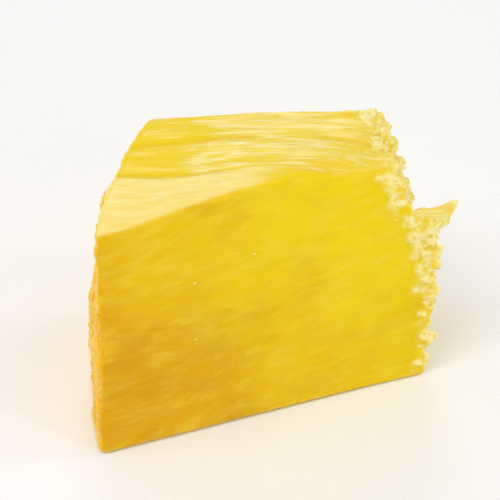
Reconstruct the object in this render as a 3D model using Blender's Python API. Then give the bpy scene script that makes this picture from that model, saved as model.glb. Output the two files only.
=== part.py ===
# A fresh pineapple chunk: one wedge of flesh, cut flat above, below, in front and behind, trimmed of its
# rind at the -X end and torn from the fruit's core at the +X end.
# +X runs from the rind side to the core side, +Y away from the shown side, +Z up.
# The origin is the middle of the bounding box, on the flat underside.

import math
import random

import bmesh
import bpy
from mathutils import Matrix, Quaternion, Vector, noise

MM = 0.001

# The wedge before its edges are rounded, in millimetres. Each corner is named by its two faces.
HEIGHT = 30.0
TOP_CORNERS = {
    "rind_front": (-20.0, -8.5),
    "rind_back": (-6.6, 12.7),
    "core_front": (18.4, -6.2),
    "core_back": (21.2, 3.8),
}
BASE_CORNERS = {
    "rind_front": (-21.2, -13.3),
    "rind_back": (-11.8, 14.6),
    "core_front": (19.4, -10.2),
    "core_back": (22.6, 6.2),
}

# How far each face leaves the flat at its middle
RIND_CROWN = 2.8
CORE_HOLLOW = 2.2
CORE_BULGE = 2.6
FRONT_CROWN = 0.7
BACK_HOLLOW = 0.6
TOP_CREST = 1.5

# The core end's bulge is widest above the middle, and more so the higher BULGE_LIFT is. Its top is set back
# from it by a step between these shares of the height, and its reach is less at the back.
BULGE_LIFT = 1.35
CORE_STEP = 2.8
STEP_SPAN = (0.82, 0.60)
CORE_BACK_LOSS = 0.5

# The block that is rounded, sliced and then drawn out to the corners above
BLOCK = Vector((40.0, 21.0, HEIGHT))
EDGE_RADIUS = 0.7
SLICE_SPACING = 1.22
ARC_STEPS = 2

# The fibres run side by side to the core end. They lean to the front and rise as they go.
FIBRE_WAY = Vector((1.0, -0.35)).normalized()
FIBRE_RISE = math.tan(math.radians(10.0))

# Relief, as half of its height in millimetres
TOP_RIDGE = 0.34
SIDE_RIDGE = 0.17
RIDGE_PITCH = 2.3
RIDGE_DRIFT = 0.035
UNEVEN = 0.55
UNEVEN_PITCH = 13.0
TORN_DEPTH = 0.8
TORN_PITCH = 2.6
TORN_RIM = 0.55
BUBBLE_DEPTH = 0.5
BUBBLE_PITCH = 3.0

# The pits that the rind's eyes leave in the trimmed end, as shares of its width and height
EYE_PITS = ((-0.30, 0.70), (0.50, 0.46), (-0.42, 0.20))
EYE_RADIUS = 2.6
EYE_DEPTH = 2.1

# The draw of the uneven drift and of the flakes
SEED = 7

# The torn flakes that stand out round the core end. Each is blunt and flat.
FLAKES = {"front": 15, "back": 7, "top": 5}
FLAKE_LENGTH = (2.2, 3.5)
FLAKE_WIDTH = (1.8, 3.0)
FLAKE_THICKNESS = 0.55
FLAKE_SIDES = 8
FLAKE_RINGS = (0.0, 0.45, 0.78, 0.94)
FLAKE_RAGGED = (0.75, 1.15)
FLAKE_LEAN = {"front": 0.45, "back": 0.45, "top": 0.12}

# The long torn tag at the front, which curls up towards its tip like a crescent
TAG_UP = 0.70
TAG_LENGTH = 6.6
TAG_WIDTH = 3.9
TAG_ROLL = 1.35
TAG_CURL = 0.54
TAG_RINGS = (0.0, 0.2, 0.38, 0.54, 0.68, 0.8, 0.9, 0.97)

FLESH_COLOUR = (0.84, 0.56, 0.02, 1.0)


def clear_scene():
    for obj in list(bpy.data.objects):
        bpy.data.objects.remove(obj)


def blend(low, high, share):
    return low + (high - low) * share


def smooth_step(low, high, value):
    share = min(max((value - low) / (high - low), 0.0), 1.0)
    return share * share * (3.0 - 2.0 * share)


def plan_point(corners, along, across):
    # A point of the plan outline, with along and across from 0 to 1
    front = Vector(corners["rind_front"]).lerp(Vector(corners["core_front"]), along)
    back = Vector(corners["rind_back"]).lerp(Vector(corners["core_back"]), along)
    return front.lerp(back, across)


def wedge_point(along, across, up):
    # Carries a point of the unit block to the wedge, with each face's own crown or hollow
    point = plan_point(BASE_CORNERS, along, across).lerp(plan_point(TOP_CORNERS, along, across), up)
    mid_along = 4.0 * along * (1.0 - along)
    mid_across = 4.0 * across * (1.0 - across)
    mid_up = 4.0 * up * (1.0 - up)
    x = point.x
    x -= RIND_CROWN * mid_across * (0.45 + 0.55 * mid_up) * (1.0 - along) ** 3
    x -= CORE_HOLLOW * mid_across * along**3
    core_reach = CORE_BULGE * math.sin(math.pi * up**BULGE_LIFT) ** 2 + CORE_STEP * smooth_step(*STEP_SPAN, up)
    x += core_reach * (1.0 - CORE_BACK_LOSS * across) * along**3
    y = point.y
    y -= FRONT_CROWN * mid_along * mid_up * (1.0 - across) ** 2
    y -= BACK_HOLLOW * mid_along * mid_up * across**2
    crest = math.sin(math.pi * along**1.4) * (1.0 - 0.5 * across)
    return Vector((x, y, HEIGHT * up + TOP_CREST * crest * up**3))


def fibre_place(point):
    # Place along the fibres, place across them, and height above the rising fibre
    along = FIBRE_WAY.x * point.x + FIBRE_WAY.y * point.y
    across = FIBRE_WAY.x * point.y - FIBRE_WAY.y * point.x
    return along, across, point.z - along * FIBRE_RISE


def wave(x, y, z):
    # Smooth noise, from about -1 to 1
    return noise.noise(Vector((x, y, z))) * 1.6


def ridges(point):
    # Long ridges along the fibres, sharper at their crests than in their troughs
    along, across, level = fibre_place(point)
    broad = wave(along * RIDGE_DRIFT, across / RIDGE_PITCH, level / RIDGE_PITCH)
    return broad - 0.25 * abs(broad)


def unevenness(point):
    # A slow drift of the whole flesh, the same on every face that meets here
    place = point / UNEVEN_PITCH
    return noise.noise_vector(place + Vector((3.1, 0.0, 7.7))) * UNEVEN


def tearing(point, layer):
    # Torn tissue: its peaks stand further out than the hollows between them reach in
    return max(wave(point.y / TORN_PITCH, point.z / TORN_PITCH, layer), -0.3)


def bubbles(point):
    # Rounded juice sacs, which meet in narrow creases
    cell = noise.voronoi(Vector((point.x, point.y, point.z)) / BUBBLE_PITCH)[0]
    return 0.6 - 1.6 * cell[0]


def eye_pits(across, up):
    # How far the pits reach into the rind end here
    depth = 0.0
    for place_across, place_up in EYE_PITS:
        side = (across - 0.5 - place_across * 0.5) * BLOCK.y * 1.2
        rise = (up - place_up) * BLOCK.z
        depth += math.exp(-((side**2 + rise**2) / EYE_RADIUS**2) ** 1.5)
    return depth * EYE_DEPTH


def relief(point, facing, along, across, up):
    # How far the surface is moved here. Each part moves one way only, so that no two faces cross.
    ends = facing.x**2
    rind_end = ends if along < 0.5 else 0.0
    top = facing.z**2 if up > 0.5 else 0.0
    torn = smooth_step(0.90, 1.0, along)
    ridge = ridges(point)
    move = unevenness(point)
    move.x += TORN_DEPTH * tearing(point, 1.3) * torn
    move.y += TORN_RIM * tearing(point, 6.1) * torn * facing.y
    move.x -= rind_end * (BUBBLE_DEPTH * bubbles(point) - eye_pits(across, up))
    move.y += SIDE_RIDGE * ridge * facing.y * abs(facing.y)
    move.z += TOP_RIDGE * ridge * top
    return move * smooth_step(0.0, 2.4, point.z)


def slice_places(size):
    # Where the block is sliced across one axis: evenly, and closer within each rounded edge
    flat = size / 2.0 - EDGE_RADIUS
    count = max(2, round(2.0 * flat / SLICE_SPACING))
    places = [blend(-flat, flat, i / count) for i in range(count + 1)]
    for step in range(1, ARC_STEPS):
        reach = flat + EDGE_RADIUS * math.tan(math.pi / 4.0 * step / ARC_STEPS)
        places += [-reach, reach]
    return places


def sliced_block():
    mesh = bmesh.new()
    bmesh.ops.create_cube(mesh, size=1.0, matrix=Matrix.Diagonal((*BLOCK, 1.0)))
    for axis in range(3):
        normal = Vector((0.0, 0.0, 0.0))
        normal[axis] = 1.0
        for place in slice_places(BLOCK[axis]):
            bmesh.ops.bisect_plane(
                mesh,
                geom=mesh.verts[:] + mesh.edges[:] + mesh.faces[:],
                plane_co=normal * place,
                plane_no=normal,
            )
    return mesh


def rounded(point):
    # The point moved onto the block's rounded surface, and the way that surface faces
    inner = BLOCK / 2.0 - Vector((EDGE_RADIUS,) * 3)
    nearest = Vector(min(max(point[i], -inner[i]), inner[i]) for i in range(3))
    facing = (point - nearest).normalized()
    return nearest + facing * EDGE_RADIUS, facing


def chunk_body():
    mesh = sliced_block()
    for vert in mesh.verts:
        on_block, facing = rounded(vert.co)
        along, across, up = (on_block[i] / BLOCK[i] + 0.5 for i in range(3))
        vert.co = wedge_point(along, across, up)
        vert.co += relief(vert.co, facing, along, across, up)
        vert.co.z = max(vert.co.z, 0.0)
    return finish_mesh("pineapple_chunk", mesh)


def finish_mesh(name, mesh):
    bmesh.ops.triangulate(mesh, faces=mesh.faces[:])
    bmesh.ops.recalc_face_normals(mesh, faces=mesh.faces[:])
    bmesh.ops.scale(mesh, vec=(MM, MM, MM), verts=mesh.verts[:])
    data = bpy.data.meshes.new(name)
    mesh.to_mesh(data)
    mesh.free()
    obj = bpy.data.objects.new(name, data)
    bpy.context.scene.collection.objects.link(obj)
    return obj


def flake(name, root, heading, length, width, roll, curl, shares=FLAKE_RINGS, bend=2.0, blunt=3.0, draw=None):
    # A flat flake of torn fibre, which curls up from its root. The higher bend is, the nearer to its tip it
    # curls, and the higher blunt is, the rounder its tip. A draw makes its sides ragged.
    mesh = bmesh.new()
    side = heading.cross(Vector((0.0, 0.0, 1.0))).normalized()
    side.rotate(Quaternion(heading, roll))
    thin = heading.cross(side)
    rings = []
    for share in shares:
        centre = root + heading * length * share + Vector((0.0, 0.0, curl * length * share**bend))
        spread = width / 2.0 * math.sqrt(1.0 - share**blunt)
        ring = []
        for corner in range(FLAKE_SIDES):
            turn = math.tau * corner / FLAKE_SIDES
            offset = side * math.cos(turn) + thin * math.sin(turn) * FLAKE_THICKNESS
            ragged = draw.uniform(*FLAKE_RAGGED) if draw else 1.0
            ring.append(mesh.verts.new(centre + offset * spread * ragged))
        rings.append(ring)
    tip = mesh.verts.new(root + heading * length + Vector((0.0, 0.0, curl * length)))
    mesh.faces.new(rings[0])
    for near, far in zip(rings, rings[1:]):
        for corner in range(FLAKE_SIDES):
            after = (corner + 1) % FLAKE_SIDES
            mesh.faces.new((near[corner], near[after], far[after], far[corner]))
    for corner in range(FLAKE_SIDES):
        mesh.faces.new((rings[-1][corner], rings[-1][(corner + 1) % FLAKE_SIDES], tip))
    return finish_mesh(name, mesh)


def rim_place(edge, share):
    # A place on the core end's rim, just inside the flesh, and the way its face looks there
    if edge == "top":
        return wedge_point(0.955, share, 0.965), Vector((0.0, 0.0, 1.0))
    if edge == "front":
        return wedge_point(0.955, 0.06, share), Vector((0.0, -1.0, 0.0))
    return wedge_point(0.955, 0.94, share), Vector((0.0, 1.0, 0.0))


def torn_flakes():
    draw = random.Random(SEED)
    flakes = []
    for edge, count in FLAKES.items():
        for i in range(count):
            share = blend(0.08, 0.95, (i + draw.uniform(0.25, 0.75)) / count)
            root, outward = rim_place(edge, share)
            lean = outward * draw.uniform(0.0, FLAKE_LEAN[edge])
            heading = Vector((1.0, 0.0, draw.uniform(-0.35, 0.2))) + lean
            length = draw.uniform(*FLAKE_LENGTH)
            width = draw.uniform(*FLAKE_WIDTH)
            roll = draw.uniform(-0.6, 0.6) + (0.0 if edge == "top" else math.pi / 2.0)
            curl = draw.uniform(-0.25, 0.1)
            name = f"{edge}_flake_{i}"
            flakes.append(flake(name, root, heading.normalized(), length, width, roll, curl, draw=draw))
    return flakes + [long_tag()]


def long_tag():
    root, outward = rim_place("front", TAG_UP)
    heading = (Vector((1.0, 0.0, -0.12)) + outward * 0.15).normalized()
    return flake(
        "long_tag", root, heading, TAG_LENGTH, TAG_WIDTH, TAG_ROLL, TAG_CURL, shares=TAG_RINGS, bend=2.6, blunt=2.4
    )


def fuse(body, flakes):
    group = bpy.data.collections.new("flakes")
    bpy.context.scene.collection.children.link(group)
    for obj in flakes:
        group.objects.link(obj)
        bpy.context.scene.collection.objects.unlink(obj)
    union = body.modifiers.new("fuse", "BOOLEAN")
    union.operation = "UNION"
    union.operand_type = "COLLECTION"
    union.collection = group
    union.solver = "EXACT"
    graph = bpy.context.evaluated_depsgraph_get()
    fused = bpy.data.meshes.new_from_object(body.evaluated_get(graph))
    body.modifiers.clear()
    body.data = fused
    for obj in flakes:
        bpy.data.objects.remove(obj)
    bpy.data.collections.remove(group)


def centre_on_base(body):
    corners = [Vector(corner) for corner in body.bound_box]
    low = Vector(min(corner[i] for corner in corners) for i in range(3))
    high = Vector(max(corner[i] for corner in corners) for i in range(3))
    middle = (low + high) / 2.0
    body.data.transform(Matrix.Translation((-middle.x, -middle.y, -low.z)))


def flesh_material():
    material = bpy.data.materials.new("pineapple_flesh")
    material.use_nodes = True
    shader = material.node_tree.nodes["Principled BSDF"]
    shader.inputs["Base Color"].default_value = FLESH_COLOUR
    shader.inputs["Roughness"].default_value = 0.3
    shader.inputs["Metallic"].default_value = 0.0
    return material


def main():
    clear_scene()
    noise.seed_set(SEED)
    body = chunk_body()
    fuse(body, torn_flakes())
    centre_on_base(body)
    body.data.materials.clear()
    body.data.materials.append(flesh_material())
    body.data.shade_smooth()
    body.data.set_sharp_from_angle(angle=math.radians(40.0))


main()
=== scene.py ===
import math
import random

import bmesh
import bpy
import numpy as np
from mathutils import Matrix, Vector, bvhtree, kdtree, noise


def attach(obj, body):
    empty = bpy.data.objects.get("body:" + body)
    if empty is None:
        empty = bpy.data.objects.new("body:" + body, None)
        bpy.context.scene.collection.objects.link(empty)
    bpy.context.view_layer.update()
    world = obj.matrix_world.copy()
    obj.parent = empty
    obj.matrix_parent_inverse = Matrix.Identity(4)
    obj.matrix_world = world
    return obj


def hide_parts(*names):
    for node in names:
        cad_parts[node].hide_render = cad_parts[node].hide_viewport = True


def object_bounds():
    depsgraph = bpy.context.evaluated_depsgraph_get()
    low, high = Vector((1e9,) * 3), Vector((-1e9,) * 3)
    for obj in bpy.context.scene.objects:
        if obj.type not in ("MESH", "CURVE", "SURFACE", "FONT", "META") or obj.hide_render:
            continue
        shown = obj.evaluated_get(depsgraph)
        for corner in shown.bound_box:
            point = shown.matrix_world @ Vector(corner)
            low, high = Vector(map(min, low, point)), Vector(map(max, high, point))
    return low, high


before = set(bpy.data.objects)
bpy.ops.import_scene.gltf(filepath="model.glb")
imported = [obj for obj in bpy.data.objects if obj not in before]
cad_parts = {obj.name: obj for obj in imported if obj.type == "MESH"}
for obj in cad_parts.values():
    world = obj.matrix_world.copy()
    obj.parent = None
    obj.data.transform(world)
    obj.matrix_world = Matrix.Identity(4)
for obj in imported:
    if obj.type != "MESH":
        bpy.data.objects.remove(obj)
cadLow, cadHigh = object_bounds()
cadSize = cadHigh - cadLow
mm = 0.001
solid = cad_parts["pineapple_chunk"].data
print("frame loaded, chunk is", [round(side / mm, 1) for side in cadSize], "mm")


# The fibres run side by side towards the core end, and lean to the front and up as they go
fibre = {
    "lean": -0.35,
    "rise": math.tan(math.radians(10.0)),
    "wander": 0.9,          # how far they stray to the side, in millimetres
    "liftWander": 0.25,     # how far they stray up and down
    "wanderPitch": 14.0,
}
fibreLine = Vector((1.0, fibre["lean"], 0.0)).normalized()
fibreHeading = Vector((fibreLine.x, fibreLine.y, fibre["rise"])).normalized()


def smoothStep(low, high, value):
    share = np.clip((value - low) / (high - low), 0.0, 1.0)
    return share * share * (3.0 - 2.0 * share)


def noiseAt(places, shift=0.0):
    # Smooth noise from about -1 to 1. Each shift gives another pattern.
    spread = 1.5
    return np.array([noise.noise(Vector(place)) for place in places + shift]) * spread


def fibreField(points, onTop):
    # Place along the fibres, across them, and height above the rising fibre, in millimetres. The top is cut
    # along the fibres, so the height is taken as level there.
    along = points[:, 0] * fibreLine.x + points[:, 1] * fibreLine.y
    across = points[:, 1] * fibreLine.x - points[:, 0] * fibreLine.y
    level = points[:, 2] - along * fibre["rise"] * (1.0 - onTop)
    across = across + fibre["wander"] * noiseAt(points / fibre["wanderPitch"], 2.0)
    level = level + fibre["liftWander"] * noiseAt(points / fibre["wanderPitch"], 9.0)
    return np.stack((along, across, level), axis=1)


def cellsAt(places, shift):
    # Distance to the middle of the nearest cell, and to that of the second nearest
    found = np.array([noise.voronoi(Vector(place))[0] for place in places + shift])
    return found[:, 0], found[:, 1]


def addObject(name, mesh):
    piece = bpy.data.objects.new(name, mesh)
    bpy.context.scene.collection.objects.link(piece)
    return piece


def meshFromParts(name, parts):
    # One mesh from many (points, faces) parts, with points in millimetres
    points, faces, start = [], [], 0
    for partPoints, partFaces in parts:
        points.append(partPoints)
        faces += [tuple(corner + start for corner in face) for face in partFaces]
        start += len(partPoints)
    mesh = bpy.data.meshes.new(name)
    mesh.from_pydata((np.concatenate(points) * mm).tolist(), [], faces)
    mesh.shade_smooth()
    return mesh


# The flesh, as one fine skin over the frame's solid and the crumbs that cling to its torn rim. Lengths are in
# millimetres.
flesh = {
    "roughVoxel": 0.5,
    "voxel": 0.18,
    "keep": 190000,              # triangles that stay once the flat parts are thinned out
    "calmRounds": 26,            # smoothing over most of the chunk
    "tornRounds": 1,             # smoothing in the torn band, where crumbs must stay
    "bandReach": 3.4,            # how far the torn band reaches back from the core end
    "innerReach": (1.0, 3.2),    # the core end is calm beyond this distance from its rim
    "tornLumps": 0.10,
    "tornPitch": 0.8,
    "crumbHeight": (0.06, 0.33),  # what stands out this far counts as a crumb, from not at all to fully
    "nibblePitch": 1.4,          # small bites out of the cut edges
    "nibbleDepth": 0.20,
    "bluntness": (0.04, 0.22),   # how much the skin turns at a cut edge
}

# The faces that the knife cut, and the three bands of the top. The bands and their colours follow the fibres.
cuts = {
    "topRidge": 0.08,
    "sideRidge": 0.05,
    "ridgePitch": 1.5,
    "bandLines": (-4.3, 1.9),    # where the bands meet, across the fibres
    "bandStep": 0.10,            # each band lies a little higher than the one in front of it
    "lineDepth": 0.15,
    "lineWidth": 0.36,
    "lineWander": 0.25,
    "creamUntil": 1.5,           # the front band is cream up to here along the fibres, and yellow beyond
    "goldUntil": (-7.6, -5.5),   # the two bands behind it are gold up to here, and pale beyond
    "goldDrift": (1.2, 4.0),     # how raggedly their gold ends
    "tornEnd": (8.0, 12.0),      # they are less pale from here on
}

# The rind end, with its juice sacs and the pits that the eyes left
rindEnd = {
    # Pitch, height and width of the creases of the juice sacs, from the broad swells down
    "sacs": ((5.6, 0.42, 0.9), (1.9, 0.24, 0.6), (0.95, 0.17, 0.6)),
    "sacStretch": 1.5,           # how much taller than wide they are
    "sacWarp": 0.8,
    "pits": ((0.407, 0.661), (0.745, 0.434), (0.305, 0.189)),  # shares of the box, across and up
    "pitRadius": 1.7,
    "pitFill": 0.85,             # the pits are shallower than in the frame's solid
}

# How squarely a point has to face a way to belong to that face of the wedge, from not at all to fully
squareness = {"flat": (0.55, 0.9), "side": (0.5, 0.85), "end": (0.35, 0.8)}

# How the core end's rim is found
rim = {
    "from": 4.0,            # it lies beyond this, along x
    "square": 0.6,          # only points that face the front, back or top this squarely count
    "topFrom": 0.85,        # share of the height above which the top's rim lies
    "slice": 0.7,
    "calmOver": 7,          # slices on each side that the rim is evened out over
    "jut": (0.9, 1.7),      # what stands out further is the long tag
    "offEnd": 0.3,          # points that belong less than this to the core end lie off it
}

# What clings to the torn rim and fills the core end. Sizes are radii, and stretch is along the fibres.
crumbs = {
    "seed": 5,
    # How wide the strip of crumbs is on the front and back, at these heights
    "heights": (0.0, 5.0, 9.0, 12.0, 15.5, 18.0, 20.5, 23.5, 27.0, 31.0),
    "widths": (1.2, 1.8, 2.4, 3.4, 4.2, 3.8, 4.1, 5.0, 4.0, 2.0),
    "topWidth": 1.7,
    "coreWidth": 2.6,       # how wide the strip of crumbs is on the core end itself
    "patchPitch": 1.3,      # crumbs lie in patches of this size
    "offPatch": 0.34,       # how thickly they lie between the patches
    "raggedness": 0.9,      # how much narrower the strip is there
    "onRim": 0.35,          # more crumbs lie right on the rim
    "onRimWidth": 0.6,
    "lumpiness": 0.9,
    "lumpRate": 1.9,
    "smallness": 1.6,       # how much small crumbs outnumber large ones
    "turnOut": (0.0, 0.35),     # how far their headings turn off the fibres, outward and any way
    "turnAside": (-0.3, 0.3),
    "shiftOut": (-0.4, 0.4),    # how far they are moved, as shares of their size
    "shiftAlong": (-0.2, 0.3),
    "kinds": (
        {"count": 1000, "on": "rim", "size": (0.20, 0.50), "stretch": (0.0, 0.9), "sink": 0.30},
        {"count": 280, "on": "coreRim", "size": (0.30, 0.75), "stretch": (0.0, 1.0), "sink": 0.5},
        {"count": 150, "on": "rim", "size": (0.18, 0.30), "stretch": (1.4, 3.4), "sink": 0.3},
        {"count": 170, "on": "core", "size": (0.22, 0.40), "stretch": (0.8, 1.8), "sink": 0.75},
    ),
}


def modified(mesh, kind, **settings):
    # The mesh that one modifier makes of this one
    block = addObject("block", mesh)
    step = block.modifiers.new("step", kind)
    for name, value in settings.items():
        setattr(step, name, value)
    made = bpy.data.meshes.new_from_object(block.evaluated_get(bpy.context.evaluated_depsgraph_get()))
    bpy.data.objects.remove(block)
    return made


def remeshed(mesh, voxel):
    return modified(mesh, "REMESH", mode="VOXEL", voxel_size=voxel * mm)


def thinned(mesh, triangles):
    # The meshes here have four-sided faces, each of them two triangles
    return modified(mesh, "DECIMATE", ratio=triangles / len(mesh.polygons) / 2.0)


def readPoints(mesh):
    points = np.empty(len(mesh.vertices) * 3, np.float32)
    mesh.vertices.foreach_get("co", points)
    return points.reshape(-1, 3).astype(float) / mm


def writePoints(mesh, points):
    mesh.vertices.foreach_set("co", (points * mm).astype(np.float32).ravel())
    mesh.update()


def readNormals(mesh):
    normals = np.empty(len(mesh.vertices) * 3, np.float32)
    mesh.vertex_normals.foreach_get("vector", normals)
    return normals.reshape(-1, 3).astype(float)


def readCorners(mesh):
    return [tuple(face.vertices) for face in mesh.polygons]


def unit(ways):
    return ways / np.linalg.norm(ways, axis=1, keepdims=True)


def dropLooseBits(mesh):
    # Leaves the largest of the mesh's closed shells alone, without any crumb that floats free
    body = bmesh.new()
    body.from_mesh(mesh)
    waiting = set(body.verts)
    shells = []
    while waiting:
        front = [waiting.pop()]
        shell = list(front)
        while front:
            point = front.pop()
            found = [edge.other_vert(point) for edge in point.link_edges]
            found = [other for other in found if other in waiting]
            waiting.difference_update(found)
            front += found
            shell += found
        shells.append(shell)
    shells.sort(key=len)
    bmesh.ops.delete(body, geom=[point for shell in shells[:-1] for point in shell], context="VERTS")
    body.to_mesh(mesh)
    body.free()
    print("loose bits dropped:", len(shells) - 1)


class Neighbours:
    # Averages any value over each point's neighbours
    def __init__(self, mesh):
        ends = np.empty(len(mesh.edges) * 2, np.int32)
        mesh.edges.foreach_get("vertices", ends)
        self.ends = ends.reshape(-1, 2)
        self.size = len(mesh.vertices)
        self.count = np.bincount(self.ends.ravel(), minlength=self.size)[:, None]

    def average(self, values):
        first, second = self.ends[:, 0], self.ends[:, 1]
        total = np.empty_like(values)
        for column in range(values.shape[1]):
            total[:, column] = np.bincount(first, values[second, column], self.size)
            total[:, column] += np.bincount(second, values[first, column], self.size)
        return total / self.count

    def relax(self, values, rounds, share=0.5, weight=1.0):
        for _ in range(rounds):
            values = values + (self.average(values) - values) * share * weight
        return values


def lookupOf(points):
    lookup = kdtree.KDTree(len(points))
    for index, point in enumerate(points):
        lookup.insert(point, index)
    lookup.balance()
    return lookup


def awayFrom(points, chosen):
    # How far each point lies from the nearest of the chosen ones
    lookup = lookupOf(points[chosen])
    return np.array([lookup.find(point)[2] for point in points])


def inFromRim(points, core, sway):
    # How far each point of the core end lies from its rim, give or take a ragged sway
    return awayFrom(points, core < rim["offEnd"]) + sway * noiseAt(points / 2.4, 18.0)


def rimLine(along, x, chosen, span):
    # Where the core end's rim lies on one face: the furthest x in each slice, without what juts from it
    slices = np.arange(span[0], span[1] + 1.0)
    furthest = []
    for place in slices:
        near = chosen & (np.abs(along - place) < rim["slice"])
        furthest.append(x[near].max() if near.any() else np.nan)
    furthest = np.array(furthest)
    known = ~np.isnan(furthest)
    furthest = np.interp(slices, slices[known], furthest[known])
    reach = rim["calmOver"]
    padded = np.pad(furthest, reach, mode="edge")
    level = np.array([np.median(padded[i:i + 2 * reach + 1]) for i in range(len(slices))])
    return np.interp(along, slices, level)


def readFaces(points, facing):
    # How much each point belongs to each face of the wedge, and how far it lies from the core end's rim
    x, y, z = points.T
    faces = {
        "top": smoothStep(*squareness["flat"], facing[:, 2]),
        "base": smoothStep(*squareness["flat"], -facing[:, 2]),
        "side": smoothStep(*squareness["side"], np.abs(facing[:, 1])),
        "rind": smoothStep(*squareness["end"], -facing[:, 0]),
        "core": smoothStep(*squareness["end"], facing[:, 0]),
        "lift": smoothStep(0.3, 2.5, z),  # nothing sinks below the flat underside
    }
    coreHalf = x > rim["from"]
    height = (0.0, cadSize.z / mm)
    front = rimLine(z, x, coreHalf & (facing[:, 1] < -rim["square"]), height)
    back = rimLine(z, x, coreHalf & (facing[:, 1] > rim["square"]), height)
    upper = coreHalf & (facing[:, 2] > rim["square"]) & (z > rim["topFrom"] * cadSize.z / mm)
    top = rimLine(y, x, upper, (cadLow.y / mm, cadHigh.y / mm))
    beside = np.where(y < (cadLow.y + cadHigh.y) / 2.0 / mm, front, back)
    faces["gap"] = np.where(np.abs(facing[:, 2]) > np.abs(facing[:, 1]), top, beside) - x
    faces["jut"] = smoothStep(*rim["jut"], -faces["gap"])
    return faces


def crumbPart(draw, middle, size, heading, stretch, rows=5, columns=8):
    # A lumpy crumb of flesh, drawn out along its heading
    points, faces = [], []
    shift = Vector([draw.uniform(0.0, 50.0) for _ in range(3)])
    for row in range(rows + 1):
        tilt = math.pi * row / rows
        for column in range(columns if 0 < row < rows else 1):
            turn = math.tau * column / columns
            way = Vector((math.sin(tilt) * math.cos(turn), math.sin(tilt) * math.sin(turn), math.cos(tilt)))
            lump = crumbs["lumpiness"] * noise.noise(way * crumbs["lumpRate"] + shift)
            points.append(middle + (way + heading * way.dot(heading) * stretch) * (size * (1.0 + lump)))
    for column in range(columns):
        after = (column + 1) % columns
        faces.append((0, 1 + column, 1 + after))
        for row in range(rows - 2):
            here = 1 + row * columns
            faces.append((here + column, here + columns + column, here + columns + after, here + after))
        here = 1 + (rows - 2) * columns
        faces.append((here + column, len(points) - 1, here + after))
    return np.array([tuple(point) for point in points]), faces


def pickPlaces(draw, weights, count):
    total = np.cumsum(weights)
    return [int(np.searchsorted(total, draw.random() * total[-1])) for _ in range(count)]


def crumbWeights(points, faces):
    # Where the crumbs lie thickest: on the torn rim, over the core end, and on the core end near its rim
    patch = smoothStep(-0.35, 0.35, noiseAt(points / crumbs["patchPitch"], 60.0))
    width = np.interp(points[:, 2], crumbs["heights"], crumbs["widths"])
    width = width * (1.0 - faces["top"]) + crumbs["topWidth"] * faces["top"]
    strip = smoothStep(width + 0.6, width - 1.6, faces["gap"] + crumbs["raggedness"] * (1.0 - patch))
    onStrip = np.maximum(faces["side"], faces["top"]) * strip
    onStrip = onStrip * (crumbs["offPatch"] + (1.0 - crumbs["offPatch"]) * patch)
    onRim = crumbs["onRim"] * np.exp(-((faces["gap"] / crumbs["onRimWidth"]) ** 2))
    inward = inFromRim(points, faces["core"], 1.3)
    coreRim = smoothStep(crumbs["coreWidth"] + 0.8, crumbs["coreWidth"] - 0.8, inward)
    smooth = faces["lift"] * (1.0 - faces["jut"])
    return {
        "rim": (onStrip + onRim) * (1.0 - faces["core"]) * smooth,
        "core": faces["core"] * smooth,
        "coreRim": faces["core"] * smooth * (0.06 + 0.94 * coreRim),
    }


def crumbedSolid():
    # The frame's solid with crumbs and fibre ends sunk into its core end and the rim round it
    rough = remeshed(solid.copy(), flesh["roughVoxel"])
    around = Neighbours(rough)
    points = around.relax(readPoints(rough), 3)
    facing = unit(around.relax(readNormals(rough), 4))
    weights = crumbWeights(points, readFaces(points, facing))
    draw = random.Random(crumbs["seed"])
    parts = [(readPoints(solid), readCorners(solid))]
    for kind in crumbs["kinds"]:
        small, large = kind["size"]
        for index in pickPlaces(draw, weights[kind["on"]], kind["count"]):
            place, outward = Vector(points[index]), Vector(facing[index])
            size = small + (large - small) * draw.random() ** crumbs["smallness"]
            stretch = draw.uniform(*kind["stretch"])
            heading = fibreHeading + outward * draw.uniform(*crumbs["turnOut"])
            heading += Vector([draw.uniform(*crumbs["turnAside"]) for _ in range(3)])
            heading.normalize()
            middle = place + outward * size * draw.uniform(*crumbs["shiftOut"])
            shift = draw.uniform(*crumbs["shiftAlong"])
            middle += heading * size * stretch * shift - outward * size * kind["sink"]
            parts.append(crumbPart(draw, middle, size, heading, stretch))
    return meshFromParts("crumbed", parts)


def standingOut(points):
    # How far each point stands out from the frame's solid
    tree = bvhtree.BVHTree.FromPolygons(readPoints(solid).tolist(), readCorners(solid))
    found = [tree.find_nearest(Vector(point)) for point in points]
    return np.array([(Vector(point) - place).dot(way) for point, (place, way, _, _) in zip(points, found)])


def bandLine(field):
    # The narrow creases where the bands of the top meet. They fade out towards both ends.
    line = np.zeros(len(field))
    for place in cuts["bandLines"]:
        away = field[:, 1] - place + cuts["lineWander"] * noiseAt(field * (0.2, 0.0, 0.0), place)
        reach = smoothStep(0.15, 0.65, 0.5 + 0.6 * noiseAt(field * (0.12, 0.0, 0.0), place + 5.0))
        line = np.maximum(line, np.exp(-((away / cuts["lineWidth"]) ** 2)) * reach)
    return line


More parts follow.
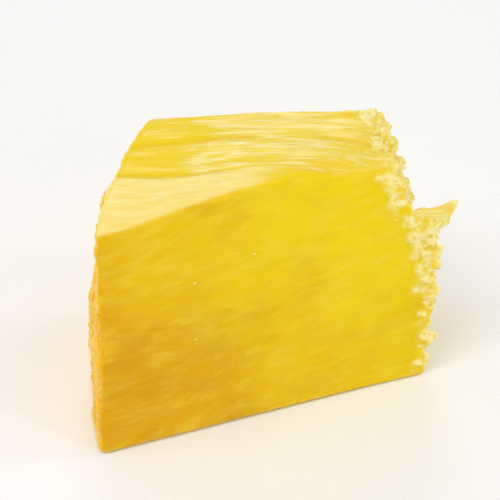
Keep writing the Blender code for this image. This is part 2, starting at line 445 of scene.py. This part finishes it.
def paleness(field):
    # The pale parts of the top: the near end of the front band, and the far ends of the two behind it
    along, across, _ = field.T
    first, second = cuts["bandLines"]
    inFront = smoothStep(first + 0.25, first - 0.25, across)
    atBack = smoothStep(second - 0.25, second + 0.25, across)
    drift = noiseAt(field * (0.10, 0.45, 0.2), 50.0)
    cream = inFront * smoothStep(2.5, -2.5, along - cuts["creamUntil"] + 1.5 * drift)
    pale = np.zeros(len(field))
    for share, gold, sway in zip((1.0 - atBack, atBack), cuts["goldUntil"], cuts["goldDrift"]):
        end = along - gold + sway * noiseAt(field * (0.16, 0.7, 0.3), gold)
        pale += share * smoothStep(-1.6, 1.6, end)
    pale *= (1.0 - inFront) * (1.0 - 0.3 * smoothStep(*cuts["tornEnd"], along + drift))
    return np.clip(cream, 0.0, 1.0), np.clip(pale, 0.0, 1.0)


def cutHeight(field, faces, band, line):
    # Low ridges along the fibres, and the creases and steps between the bands of the top
    pitch = cuts["ridgePitch"]
    broad = noiseAt(field * (0.04, 1.0 / pitch, 1.0 / pitch))
    fine = noiseAt(field * (0.10, 2.2 / pitch, 2.2 / pitch), 7.3)
    ridge = cuts["topRidge"] * faces["top"] + cuts["sideRidge"] * faces["side"]
    height = (broad + 0.35 * fine) * ridge * (1.0 - 0.6 * band)
    height -= cuts["lineDepth"] * line * faces["top"]
    for place in cuts["bandLines"]:
        height += cuts["bandStep"] * smoothStep(-0.3, 0.3, field[:, 1] - place) * faces["top"]
    return height


def raiseSacs(height, points, rind):
    # Adds the juice sacs of the rind end to the height, and tells how deep in their creases each point lies
    warp = np.stack([noiseAt(points / 1.6, shift) for shift in (15.0, 25.0, 35.0)], axis=1)
    bent = (points + rindEnd["sacWarp"] * warp) / (1.0, 1.0, rindEnd["sacStretch"])
    swell = np.ones(len(points))
    for pitch, tall, creaseWidth in rindEnd["sacs"]:
        near, second = cellsAt(bent / pitch, pitch)
        dome = np.sin(np.clip((second - near) / creaseWidth, 0.0, 1.0) * math.pi / 2.0)
        swell *= 0.5 + 0.5 * dome
        height += rind * tall * (dome - 0.7)
    return 1.0 - swell


def pitMask(points, rind):
    pit = np.zeros(len(points))
    for acrossShare, upShare in rindEnd["pits"]:
        middleY = (cadLow.y + cadSize.y * acrossShare) / mm
        middleZ = cadSize.z * upShare / mm
        away = np.hypot(points[:, 1] - middleY, points[:, 2] - middleZ)
        away = away + 0.9 * noiseAt(points / 1.3, middleZ)
        pit = np.maximum(pit, np.exp(-((away / rindEnd["pitRadius"]) ** 2)) * rind)
    return pit


# The masks that the flesh's material reads
shownMasks = (
    "torn", "crumb", "jut", "eye", "cut", "rind", "cream", "pale", "crease", "core", "inner", "edge", "sacCreaseShade",
    "ripeAndLowShade",
)


def calmed(mesh, around):
    # Smooths the mesh, most of all away from the torn band. Returns its points, and how far they lay from the
    # rim before that.
    points = readPoints(mesh)
    gap = readFaces(points, unit(around.relax(readNormals(mesh), 16)))["gap"]
    calm = smoothStep(flesh["bandReach"] * 0.6, flesh["bandReach"] * 1.6, gap)
    points = around.relax(points, flesh["calmRounds"], weight=calm[:, None])
    points = around.relax(points, flesh["tornRounds"])
    writePoints(mesh, points)
    return points, gap


def detailed(mesh, around, points, gap):
    # Gives the mesh its fine relief, and returns its masks
    facing = around.relax(readNormals(mesh), 12)
    edge = smoothStep(*flesh["bluntness"], 1.0 - np.linalg.norm(facing, axis=1))
    facing = unit(facing)
    faces = readFaces(points, facing)
    field = fibreField(points, faces["top"])
    core, rind = faces["core"], faces["rind"]
    inner = core * smoothStep(*flesh["innerReach"], inFromRim(points, core, 0.8))
    ragged = faces["gap"] + 1.5 * noiseAt(points / 1.9, 33.0)
    band = np.maximum(smoothStep(flesh["bandReach"], 0.5, ragged), core) * (1.0 - faces["base"])

    line = bandLine(field)
    height = cutHeight(field, faces, band, line)
    sacCreaseShade = raiseSacs(height, points, rind)
    pit = pitMask(points, rind)
    height += rindEnd["pitFill"] * pit * (0.9 + 0.5 * noiseAt(points / 0.9, 40.0))
    nibble = smoothStep(0.25, 0.8, noiseAt(points / flesh["nibblePitch"], 11.0))
    height -= flesh["nibbleDepth"] * nibble * edge
    lumps = noiseAt(points / flesh["tornPitch"], 71.0) + 0.5 * noiseAt(points / flesh["tornPitch"] * 2.1, 3.0)
    height += flesh["tornLumps"] * lumps * band * (1.0 - 0.9 * faces["jut"]) * (1.0 - 0.6 * inner)
    # The crumbs' tops, which the material paints pale: partly torn flesh, partly a painted highlight
    crumb = smoothStep(*flesh["crumbHeight"], standingOut(points))
    crumb = crumb * smoothStep(2.5 * flesh["bandReach"], flesh["bandReach"], gap)
    points = points + facing * (height * faces["lift"])[:, None]
    points[:, 2] = np.maximum(points[:, 2], 0.0)
    writePoints(mesh, points)

    # Deepest gold low down at the rind end: deeper towards the rind end for ripeness, and towards the bottom
    # as painted shade
    ripeAndLowShade = 0.5 - points[:, 0] / cadSize.x * mm * 0.9 - (points[:, 2] / cadSize.z * mm - 0.5) * 0.5
    ripeAndLowShade = np.clip(ripeAndLowShade + 0.15 * noiseAt(points / 9.0, 90.0), 0.0, 1.0)
    cream, pale = paleness(field)
    faces.update({
        "torn": band, "eye": pit, "cut": faces["top"] + faces["base"], "cream": cream, "pale": pale,
        "crease": line * faces["top"], "edge": edge, "sacCreaseShade": sacCreaseShade, "inner": inner, "ripeAndLowShade": ripeAndLowShade,
        "crumb": crumb * (1.0 - 0.5 * inner),
    })
    return points, faces


def makeFlesh():
    mesh = remeshed(crumbedSolid(), flesh["voxel"])
    dropLooseBits(mesh)
    around = Neighbours(mesh)
    points, gap = calmed(mesh, around)
    points, faces = detailed(mesh, around, points, gap)
    fine = thinned(mesh, flesh["keep"])
    finePoints = readPoints(fine)
    lookup = lookupOf(points)
    nearest = np.array([lookup.find(point)[1] for point in finePoints])
    faces = {name: values[nearest] for name, values in faces.items()}
    for name in shownMasks:
        mask = fine.attributes.new(name, "FLOAT", "POINT")
        mask.data.foreach_set("value", faces[name].astype(np.float32))
    # The fibres' own coordinates, which every material's streaks follow
    field = fine.attributes.new("fibre", "FLOAT_VECTOR", "POINT")
    field.data.foreach_set("vector", fibreField(finePoints, faces["top"]).astype(np.float32).ravel())
    fine.shade_smooth()
    print("flesh has", len(fine.vertices), "points")
    return addObject("flesh", fine), finePoints, readNormals(fine), faces


fleshPiece, fleshPoints, fleshNormals, fleshFaces = makeFlesh()


# Beads of juice that lie on the flesh, most of them on the rind end and the torn rim
drops = {
    "seed": 23,
    "onFlesh": 26,
    "onRim": 44,
    "onRind": 80,
    "radius": (0.11, 0.30),
    "height": 0.55,          # as a share of the radius
    "sunk": 0.12,
    "wobble": 0.22,
}


def dropPart(draw, middle, normal, radius, rows=5, columns=14):
    # A flattened bead, closed below
    anyWay = Vector((0.31, 0.52, 0.79))
    side = normal.cross(anyWay).normalized()
    other = normal.cross(side)
    points, faces = [], []
    shift = draw.uniform(0.0, 50.0)
    for row in range(rows):
        tilt = math.pi / 2.0 * row / rows
        for column in range(columns):
            turn = math.tau * column / columns
            wobble = 1.0 + drops["wobble"] * noise.noise(Vector((math.cos(turn), math.sin(turn), shift)))
            flat = (side * math.cos(turn) + other * math.sin(turn)) * math.cos(tilt) * wobble
            lift = math.sin(tilt) * drops["height"] - drops["sunk"]
            points.append(middle + (flat + normal * lift) * radius)
    points.append(middle + normal * (drops["height"] - drops["sunk"]) * radius)
    for row in range(rows - 1):
        for column in range(columns):
            here, after = row * columns + column, row * columns + (column + 1) % columns
            faces.append((here, after, after + columns, here + columns))
    last = (rows - 1) * columns
    faces += [(last + column, last + (column + 1) % columns, rows * columns) for column in range(columns)]
    faces.append(tuple(range(columns - 1, -1, -1)))
    return np.array([tuple(point) for point in points]), faces


def makeDrops():
    draw = random.Random(drops["seed"])
    smooth = fleshFaces["lift"] * (1.0 - fleshFaces["jut"])
    weights = {
        "onFlesh": (fleshFaces["side"] + fleshFaces["top"]) * smooth * (1.0 - fleshFaces["torn"]),
        "onRim": fleshFaces["torn"] * (1.0 - fleshFaces["core"]) * smooth,
        "onRind": fleshFaces["rind"] * fleshFaces["lift"],
    }
    small, large = drops["radius"]
    parts = []
    for where, weight in weights.items():
        for index in pickPlaces(draw, weight, drops[where]):
            radius = small + (large - small) * draw.random() ** 2
            parts.append(dropPart(draw, Vector(fleshPoints[index]), Vector(fleshNormals[index]), radius))
    mesh = meshFromParts("juiceDrops", parts)
    print("drops have", len(mesh.vertices), "points")
    return addObject("juiceDrops", mesh)


dropPiece = makeDrops()


def colour(red, green, blue):
    # A display colour from 0 to 255 as the linear colour that the shader needs
    linear = [value / 255.0 for value in (red, green, blue)]
    linear = [value / 12.92 if value <= 0.04045 else ((value + 0.055) / 1.055) ** 2.4 for value in linear]
    return (*linear, 1.0)


def newMaterial(name):
    material = bpy.data.materials.new(name)
    material.use_nodes = True
    return material, material.node_tree, material.node_tree.nodes["Principled BSDF"]


def addNode(tree, kind, sockets=None, **settings):
    made = tree.nodes.new(kind)
    for name, value in settings.items():
        setattr(made, name, value)
    for name, value in (sockets or {}).items():
        if isinstance(value, bpy.types.NodeSocket):
            tree.links.new(value, made.inputs[name])
        else:
            made.inputs[name].default_value = value
    return made


def addMath(tree, operation, first, second=0.0, third=0.0):
    return addNode(tree, "ShaderNodeMath", {0: first, 1: second, 2: third}, operation=operation).outputs[0]


def times(tree, first, second):
    return addMath(tree, "MULTIPLY", first, second)


def mixColour(tree, share, first, second):
    # The colour sockets of a Mix node share their names with its other sockets, so they are taken by place
    return addNode(tree, "ShaderNodeMix", {0: share, 6: first, 7: second}, data_type="RGBA").outputs[2]


def mapRange(tree, value, fromLow, fromHigh, toLow=0.0, toHigh=1.0):
    sockets = {0: value, 1: fromLow, 2: fromHigh, 3: toLow, 4: toHigh}
    return addNode(tree, "ShaderNodeMapRange", sockets, interpolation_type="SMOOTHSTEP").outputs[0]


def addNoise(tree, place, scale, detail):
    sockets = {"Vector": place, "Scale": scale, "Detail": detail}
    return addNode(tree, "ShaderNodeTexNoise", sockets).outputs["Fac"]


def readAttribute(tree, name, output="Fac"):
    return addNode(tree, "ShaderNodeAttribute", attribute_name=name).outputs[output]


def newGroup(name, values, result):
    # A group that makes one value from a field and some plain values
    group = bpy.data.node_groups.new(name, "ShaderNodeTree")
    group.interface.new_socket(name="Field", in_out="INPUT", socket_type="NodeSocketVector")
    for label in values:
        group.interface.new_socket(name=label, in_out="INPUT", socket_type="NodeSocketFloat")
    group.interface.new_socket(name=result, in_out="OUTPUT", socket_type="NodeSocketFloat")
    return group, group.nodes.new("NodeGroupInput").outputs, group.nodes.new("NodeGroupOutput").inputs[result]


def placeGroup(tree, group, sockets):
    return addNode(tree, "ShaderNodeGroup", sockets, node_tree=group).outputs


def alongFibres(group, given, width):
    # The field in units of this width across the fibres, and of Stretch times that along them
    sockets = {"X": times(group, given[width], given["Stretch"]), "Y": given[width], "Z": given[width]}
    size = addNode(group, "ShaderNodeCombineXYZ", sockets).outputs[0]
    return addNode(group, "ShaderNodeVectorMath", {0: given["Field"], 1: size}, operation="DIVIDE").outputs[0]


def makeStreaks():
    # Soft streaks along the fibres: Pitch apart in millimetres, and Stretch times as long
    group, given, out = newGroup("fibreStreaks", ("Pitch", "Stretch", "Detail", "Shift"), "Streak")
    place = alongFibres(group, given, "Pitch")
    shift = addNode(group, "ShaderNodeCombineXYZ", {axis: given["Shift"] for axis in "XYZ"}).outputs[0]
    place = addNode(group, "ShaderNodeVectorMath", {0: place, 1: shift}, operation="ADD").outputs[0]
    sockets = {"Vector": place, "Scale": 1.0, "Detail": given["Detail"], "Roughness": 0.55}
    grain = addNode(group, "ShaderNodeTexNoise", sockets)
    group.links.new(mapRange(group, grain.outputs["Fac"], 0.3, 0.7), out)
    return group


def makeJuiceCells():
    # Long juice sacs packed side by side, where Dome is their height
    group, given, out = newGroup("juiceCells", ("Width", "Stretch"), "Dome")
    sockets = {"Vector": alongFibres(group, given, "Width"), "Scale": 1.0}
    cells = addNode(group, "ShaderNodeTexVoronoi", sockets, feature="F1")
    dome = addMath(group, "SUBTRACT", 1.0, addMath(group, "POWER", cells.outputs["Distance"], 2.0))
    group.links.new(dome, out)
    return group


fibreStreaks = makeStreaks()
juiceCells = makeJuiceCells()

fleshFinish = {
    "lemon": colour(240, 211, 0),
    "gold": colour(236, 196, 0),
    "deepGold": colour(223, 167, 0),
    # painted shade: the darker streaks of the front and back
    "shade": colour(208, 150, 0),
    "frontStreak": colour(246, 219, 58),
    "cutGold": colour(240, 210, 34),
    "cutPale": colour(243, 214, 86),
    # partly paler fibres, partly a painted sheen
    "cutWhiteSheen": colour(253, 236, 170),
    "cream": colour(251, 227, 142),
    # painted shade in the creases between the top's bands
    "creaseShadeGold": colour(235, 198, 40),
    # pale torn flesh, and on the crumbs' tops partly a painted highlight
    "torn": colour(252, 236, 168),
    "tornGold": colour(235, 206, 46),
    "tag": colour(238, 214, 72),
    "tagPale": colour(253, 238, 168),
    # paler along the rounded edges: a painted highlight
    "edge": colour(250, 228, 110),
    "rindGold": colour(247, 198, 8),
    "rindOrange": colour(243, 174, 4),
    "rindPale": colour(252, 220, 76),
    "eyeBrown": colour(208, 144, 44),
    # Pitch in millimetres, stretch, detail and shift of each kind of streak
    "streaks": {
        "blotch": (9.0, 1.8, 1.0, 3.0),
        "middle": (1.6, 10.0, 2.0, 11.0),
        "fine": (0.45, 18.0, 2.0, 27.0),
        "soft": (2.4, 12.0, 1.0, 63.0),
        "film": (1.6, 2.4, 4.0, 41.0),      # where juice wets the flesh
    },
    "cells": {"Width": 0.6, "Stretch": 5.0},
    "strands": {"Width": 1.0, "Stretch": 7.0},
    "cloudScale": 0.35,
    "grainScale": 1.5,
    "pearlScale": 1.9,
    # How much of each colour goes in where it is strongest
    "share": {
        "strand": 0.10, "fine": 0.08, "gold": 0.2, "crease": 0.6, "fibreEnd": 0.6, "rind": 0.9, "torn": 0.95,
        "tag": 0.85,
    },
    "relief": {"middle": 0.35, "fine": 0.2, "cells": 0.35, "pearls": 4.0},
    "bump": {"Strength": 0.5, "Distance": 0.16 * mm},
    "roughness": (0.5, 0.3),    # where the film of juice is thin, and thick
    "coat": (0.10, 0.62),
    "coatLoss": 0.7,            # torn flesh shines less, and the rind end more
    "rindCoat": 0.35,
    "shader": {
        "Subsurface Weight": 0.6,
        "Subsurface Radius": (1.0, 0.72, 0.2),
        "Subsurface Scale": 0.7 * mm,
        "Specular IOR Level": 0.14,
        "IOR": 1.38,
        "Coat Roughness": 0.13,
        "Coat IOR": 1.33,
    },
}


def frontColour(tree, mask, streak, strand):
    # The front and back: lemon near the core end's top, deep gold low at the rind end, with paler streaks.
    # The gold deepens towards the rind end for ripeness and towards the bottom as painted shade.
    look, share, ripeAndLowShade = fleshFinish, fleshFinish["share"], mask["ripeAndLowShade"]
    tint = mixColour(tree, mapRange(tree, ripeAndLowShade, 0.25, 0.6), look["lemon"], look["gold"])
    tint = mixColour(tree, mapRange(tree, ripeAndLowShade, 0.55, 1.0), tint, look["deepGold"])
    # Darker streaks, strongest low at the rind end: partly the flesh's own deeper patches, partly painted
    # shade
    depth = addMath(tree, "MULTIPLY_ADD", streak["soft"], 0.35, times(tree, streak["blotch"], 0.65))
    shade = times(tree, mapRange(tree, depth, 0.6, 0.1), mapRange(tree, ripeAndLowShade, 0.1, 0.7, 0.13, 0.32))
    tint = mixColour(tree, shade, tint, look["shade"])
    bright = addMath(tree, "POWER", streak["middle"], 3.0)
    bright = times(tree, bright, mapRange(tree, ripeAndLowShade, 0.0, 0.3, 0.62, 0.34))
    tint = mixColour(tree, bright, tint, look["frontStreak"])
    tint = mixColour(tree, times(tree, strand, share["strand"]), tint, look["frontStreak"])
    return mixColour(tree, times(tree, streak["fine"], share["fine"]), tint, look["frontStreak"])


def cutColour(tree, mask, streak):
    # The top and underside: a cream front band, and bands that turn from gold to pale with white streaks. The
    # white streaks are partly paler fibres and partly a painted sheen, and the darker gold in the creases
    # between the bands is painted shade.
    look, share, fine = fleshFinish, fleshFinish["share"], streak["fine"]
    pale = times(tree, mask["pale"], mapRange(tree, streak["middle"], 0.0, 0.7, 0.62, 1.0))
    tint = mixColour(tree, pale, look["cutGold"], look["cutPale"])
    # White streaks in the pale bands: partly paler fibres, partly a painted sheen
    white = times(tree, mask["pale"], mapRange(tree, fine, 0.35, 0.95, 0.0, 0.72))
    white = times(tree, white, addMath(tree, "MULTIPLY_ADD", mask["torn"], -0.6, 1.0))
    tint = mixColour(tree, white, tint, look["cutWhiteSheen"])
    gold = times(tree, addMath(tree, "SUBTRACT", 1.0, fine), share["gold"])
    tint = mixColour(tree, gold, tint, look["cutGold"])
    cream = times(tree, mask["cream"], mapRange(tree, fine, 0.1, 0.7, 0.62, 0.9))
    tint = mixColour(tree, cream, tint, look["cream"])
    # Darker gold in the creases between the bands: painted shade
    return mixColour(tree, times(tree, mask["crease"], share["crease"]), tint, look["creaseShadeGold"])


def rindColour(tree, mask, field):
    # Golden and cloudy. The deeper orange in the creases between the juice sacs is painted shade.
    look = fleshFinish
    cloud = addNoise(tree, field, look["cloudScale"], 3.0)
    tint = mixColour(tree, mapRange(tree, cloud, 0.35, 0.7), look["rindGold"], look["rindPale"])
    tint = mixColour(tree, mapRange(tree, cloud, 0.55, 0.25, 0.0, 0.5), tint, look["rindOrange"])
    # Deeper orange in the sacs' creases: painted shade
    return mixColour(tree, mapRange(tree, mask["sacCreaseShade"], 0.15, 0.8, 0.0, 0.45), tint, look["rindOrange"])


def tornness(tree, mask, streak, strands):
    # Where the pale torn flesh shows: on crumbs, in streaks of the torn band, and on fibre ends. The pale on
    # the crumbs' tops is partly the torn flesh's own colour and partly a painted highlight.
    fibreEnd = times(tree, mapRange(tree, strands, 0.86, 0.97), fleshFinish["share"]["fibreEnd"])
    fibreEnd = times(tree, mask["core"], fibreEnd)
    calm = times(tree, mask["torn"], mapRange(tree, streak["middle"], 0.25, 0.8, 0.08, 0.55))
    calm = times(tree, calm, addMath(tree, "MULTIPLY_ADD", mask["inner"], -0.7, 1.0))
    return addMath(tree, "MAXIMUM", addMath(tree, "MAXIMUM", mask["crumb"], calm), fibreEnd)


def makeFleshMaterial():
    material, tree, shader = newMaterial("wetFlesh")
    look, share, relief = fleshFinish, fleshFinish["share"], fleshFinish["relief"]
    field = readAttribute(tree, "fibre", "Vector")
    mask = {name: readAttribute(tree, name) for name in shownMasks}
    streak = {}
    for name, (pitch, stretch, detail, shift) in look["streaks"].items():
        sockets = {"Field": field, "Pitch": pitch, "Stretch": stretch, "Detail": detail, "Shift": shift}
        streak[name] = placeGroup(tree, fibreStreaks, sockets)["Streak"]
    cells = placeGroup(tree, juiceCells, {"Field": field, **look["cells"]})["Dome"]
    strands = placeGroup(tree, juiceCells, {"Field": field, **look["strands"]})["Dome"]

    front = frontColour(tree, mask, streak, mapRange(tree, strands, 0.72, 0.96))
    base = mixColour(tree, mask["cut"], front, cutColour(tree, mask, streak))
    # Paler along the rounded edges: a painted highlight
    edge = times(tree, mask["edge"], mapRange(tree, streak["blotch"], 0.3, 0.8, 0.1, 0.45))
    base = mixColour(tree, edge, base, look["edge"])
    base = mixColour(tree, times(tree, mask["rind"], share["rind"]), base, rindColour(tree, mask, field))
    grains = addNoise(tree, field, look["grainScale"], 3.0)
    tornTint = mixColour(tree, mapRange(tree, grains, 0.34, 0.54, 0.2, 1.0), look["tornGold"], look["torn"])
    torn = tornness(tree, mask, streak, strands)
    base = mixColour(tree, times(tree, torn, share["torn"]), base, tornTint)
    tagStreak = addMath(tree, "MAXIMUM", mapRange(tree, streak["fine"], 0.35, 0.9, 0.15, 0.8), mask["edge"])
    tagTint = mixColour(tree, tagStreak, look["tag"], look["tagPale"])
    base = mixColour(tree, times(tree, mask["jut"], share["tag"]), base, tagTint)
    base = mixColour(tree, mapRange(tree, mask["eye"], 0.3, 1.0, 0.0, 0.5), base, look["eyeBrown"])
    tree.links.new(base, shader.inputs["Base Color"])

    height = times(tree, streak["middle"], relief["middle"])
    height = addMath(tree, "MULTIPLY_ADD", streak["fine"], relief["fine"], height)
    height = addMath(tree, "MULTIPLY_ADD", cells, relief["cells"], height)
    pearls = times(tree, mask["rind"], addNoise(tree, field, look["pearlScale"], 2.0))
    height = addMath(tree, "MULTIPLY_ADD", pearls, relief["pearls"], height)
    bump = addNode(tree, "ShaderNodeBump", {"Height": height, **look["bump"]})
    tree.links.new(bump.outputs[0], shader.inputs["Normal"])

    film = streak["film"]
    tree.links.new(mapRange(tree, film, 0.2, 0.9, *look["roughness"]), shader.inputs["Roughness"])
    whole = addMath(tree, "MULTIPLY_ADD", torn, -look["coatLoss"], 1.0)
    wet = times(tree, mapRange(tree, film, 0.4, 0.8, *look["coat"]), whole)
    wet = addMath(tree, "MULTIPLY_ADD", mask["rind"], look["rindCoat"], wet)
    tree.links.new(wet, shader.inputs["Coat Weight"])
    for name, value in look["shader"].items():
        shader.inputs[name].default_value = value
    return material


juiceFinish = {
    "deep": colour(246, 219, 46),
    "pale": colour(252, 236, 130),
    "cloudScale": 400.0,
    "roughness": (0.03, 0.10),
    "IOR": 1.36,
}


def makeJuiceMaterial():
    # Each bead shows the flesh under it, so it is as yellow as that and only shines more
    material, tree, shader = newMaterial("juice")
    place = addNode(tree, "ShaderNodeTexCoord").outputs["Object"]
    cloud = addNoise(tree, place, juiceFinish["cloudScale"], 2.0)
    tint = mixColour(tree, cloud, juiceFinish["deep"], juiceFinish["pale"])
    tree.links.new(tint, shader.inputs["Base Color"])
    tree.links.new(mapRange(tree, cloud, 0.2, 0.8, *juiceFinish["roughness"]), shader.inputs["Roughness"])
    shader.inputs["IOR"].default_value = juiceFinish["IOR"]
    return material


fleshPiece.data.materials.append(makeFleshMaterial())
dropPiece.data.materials.append(makeJuiceMaterial())
print("materials made")


# Floor, light and camera, in metres and degrees
studio = {
    "azimuth": -18.0,
    "elevation": 37.0,
    "lens": 350.0,
    "fill": 1.04,           # share of the frame's width that the diagonal of the chunk's box would take
    "floor": colour(252, 252, 252),
    "floorRoughness": 0.55,
    "floorReach": 0.55,     # the bright air shows beyond it
    "floorSides": 96,
    "horizon": 0.95,        # light from the air at the horizon, and from higher up
    "zenith": 0.34,
    "zenithFrom": 0.6,
}

# Each light's azimuth, elevation, distance, size, power in watts, and tint
lights = {
    "overhead": (-50.0, 64.0, 0.42, 0.22, 0.49, (1.0, 1.0, 1.0)),
    "behind": (163.0, 38.0, 0.45, 0.18, 0.22, (1.0, 1.0, 1.0)),
    "front": (10.0, 22.0, 0.55, 0.40, 0.33, (1.0, 1.0, 1.0)),
    "rindSide": (-105.0, 30.0, 0.50, 0.24, 0.28, (1.0, 0.95, 0.88)),
    "coreSide": (85.0, 32.0, 0.50, 0.26, 0.44, (1.0, 0.97, 0.91)),
    "sparkle": (40.0, 55.0, 0.50, 0.04, 0.14, (1.0, 1.0, 1.0)),
    "rindSparkle": (-78.0, 44.0, 0.50, 0.04, 0.12, (1.0, 1.0, 1.0)),
    "backFill": (205.0, 16.0, 0.55, 0.36, 0.36, (1.0, 0.97, 0.90)),
}


def makeFloor():
    mesh = bpy.data.meshes.new("floor")
    sides, reach = studio["floorSides"], studio["floorReach"]
    turns = [math.tau * side / sides for side in range(sides)]
    ring = [(reach * math.cos(turn), reach * math.sin(turn), 0.0) for turn in turns]
    mesh.from_pydata(ring, [], [tuple(range(len(ring)))])
    floor = addObject("floor", mesh)
    material, _, shader = newMaterial("paleFloor")
    shader.inputs["Base Color"].default_value = studio["floor"]
    shader.inputs["Roughness"].default_value = studio["floorRoughness"]
    mesh.materials.append(material)


def direction(azimuth, elevation):
    turn, rise = math.radians(azimuth), math.radians(elevation)
    return Vector((math.sin(turn) * math.cos(rise), -math.cos(turn) * math.cos(rise), math.sin(rise)))


def addLight(name, azimuth, elevation, distance, size, watts, tint):
    data = bpy.data.lights.new(name, "AREA")
    data.shape = "DISK"
    data.size = size
    data.energy = watts
    data.color = tint
    lamp = addObject(name, data)
    way = direction(azimuth, elevation)
    lamp.location = way * distance
    lamp.rotation_mode = "QUATERNION"
    lamp.rotation_quaternion = way.to_track_quat("Z", "Y")


def makeCamera():
    data = bpy.data.cameras.new("camera")
    data.lens = studio["lens"]
    camera = addObject("camera", data)
    back = direction(studio["azimuth"], studio["elevation"])
    middle = (cadLow + cadHigh) / 2.0
    half = math.atan(data.sensor_width / 2.0 / data.lens)
    distance = cadSize.length / 2.0 / math.tan(half * studio["fill"])
    camera.location = middle + back * distance
    camera.rotation_mode = "QUATERNION"
    camera.rotation_quaternion = back.to_track_quat("Z", "Y")
    data.clip_start, data.clip_end = 0.005, 10.0
    bpy.context.scene.camera = camera


def makeAir():
    # Brightest at the horizon, so that wet flesh reflects white at a low angle
    world = bpy.data.worlds.new("studioAir")
    world.use_nodes = True
    tree = world.node_tree
    way = addNode(tree, "ShaderNodeTexCoord").outputs["Generated"]
    rise = addMath(tree, "ABSOLUTE", addNode(tree, "ShaderNodeSeparateXYZ", {0: way}).outputs["Z"])
    strength = mapRange(tree, rise, 0.0, studio["zenithFrom"], studio["horizon"], studio["zenith"])
    tree.links.new(strength, tree.nodes["Background"].inputs["Strength"])
    tree.nodes["Background"].inputs["Color"].default_value = (1.0, 1.0, 1.0, 1.0)
    bpy.context.scene.world = world


makeFloor()
makeCamera()
for lightName, lightValues in lights.items():
    addLight(lightName, *lightValues)
makeAir()
bpy.context.scene.view_settings.view_transform = "Standard"
print("studio made")

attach(fleshPiece, "root")
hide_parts("pineapple_chunk")
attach(dropPiece, "root")
